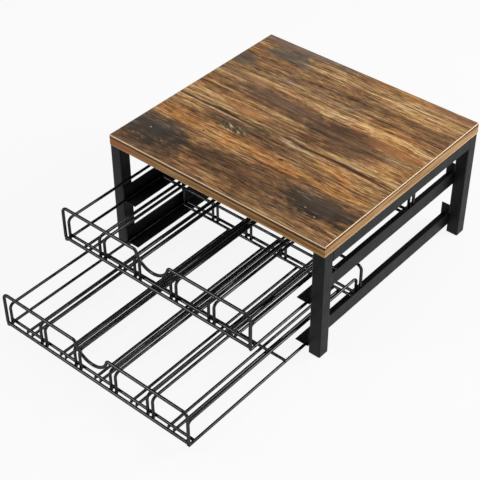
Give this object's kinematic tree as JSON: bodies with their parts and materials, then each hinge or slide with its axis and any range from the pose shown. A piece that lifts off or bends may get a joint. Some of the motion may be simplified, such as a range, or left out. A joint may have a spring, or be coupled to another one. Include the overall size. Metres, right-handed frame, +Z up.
{
  "type": "coffee pod drawer",
  "caption": "Low storage rack: a wood-grain board on square-tube side frames over two wire drawers that slide forward, with lanes for coffee pods.",
  "frame": {"origin": "on the floor, under the middle of the object's box as it stands with both drawers part open", "axes": "+X to the right as seen from the front, +Y from the drawers' fronts towards the rear, +Z up; the drawers open towards -Y"},
  "size_m": [0.32, 0.5011, 0.165],
  "materials": {
    "board_laminate": "satin wood-grain laminate, rustic brown with dark streaks",
    "edge_band": "satin golden wood-grain edging with a bevelled top edge",
    "frame_steel": "satin black powder coat on square steel tube and bent sheet",
    "wire_steel": "gloss black powder coat on round steel wire",
    "plug_plastic": "moulded black plastic",
    "screw_steel": "zinc-plated steel"
  },
  "bodies": {
    "cabinet": {"top_board": "board_laminate", "edge_band_front": "edge_band", "edge_band_rear": "edge_band", "edge_band_left": "edge_band", "edge_band_right": "edge_band", "leg_front_left": "frame_steel", "leg_front_right": "frame_steel", "leg_rear_left": "frame_steel", "leg_rear_right": "frame_steel", "top_rail_left": "frame_steel", "top_rail_right": "frame_steel", "leg_plugs": "plug_plastic", "board_screws": "screw_steel", "upper_runner_left": "frame_steel", "upper_runner_right": "frame_steel", "lower_runner_left": "frame_steel", "lower_runner_right": "frame_steel"},
    "upper_drawer": {"upper_front_fence": "wire_steel", "upper_rear_fence": "wire_steel", "upper_side_wire_left": "wire_steel", "upper_side_wire_right": "wire_steel", "upper_front_cross_wire": "wire_steel", "upper_mid_cross_wire": "wire_steel", "upper_rear_cross_wire": "wire_steel", "upper_lane_1_guides": "wire_steel", "upper_lane_2_guides": "wire_steel", "upper_lane_3_guides": "wire_steel", "upper_lane_4_guides": "wire_steel", "upper_lane_5_guides": "wire_steel", "upper_lane_1_floor": "wire_steel", "upper_lane_2_floor": "wire_steel", "upper_lane_3_floor": "wire_steel", "upper_lane_4_floor": "wire_steel", "upper_lane_5_floor": "wire_steel"},
    "lower_drawer": {"lower_front_fence": "wire_steel", "lower_rear_fence": "wire_steel", "lower_side_wire_left": "wire_steel", "lower_side_wire_right": "wire_steel", "lower_front_cross_wire": "wire_steel", "lower_mid_cross_wire": "wire_steel", "lower_rear_cross_wire": "wire_steel", "lower_lane_1_guides": "wire_steel", "lower_lane_2_guides": "wire_steel", "lower_lane_3_guides": "wire_steel", "lower_lane_4_guides": "wire_steel", "lower_lane_5_guides": "wire_steel", "lower_lane_1_floor": "wire_steel", "lower_lane_2_floor": "wire_steel", "lower_lane_3_floor": "wire_steel", "lower_lane_4_floor": "wire_steel", "lower_lane_5_floor": "wire_steel"}
  },
  "joints": [
    {"name": "upper_drawer_slide", "type": "slide", "parent": "cabinet", "child": "upper_drawer", "axis": [0, -1, 0], "range_m": [-0.0965, 0.1435]},
    {"name": "lower_drawer_slide", "type": "slide", "parent": "cabinet", "child": "lower_drawer", "axis": [0, -1, 0], "range_m": [-0.196, 0.044]}
  ]
}
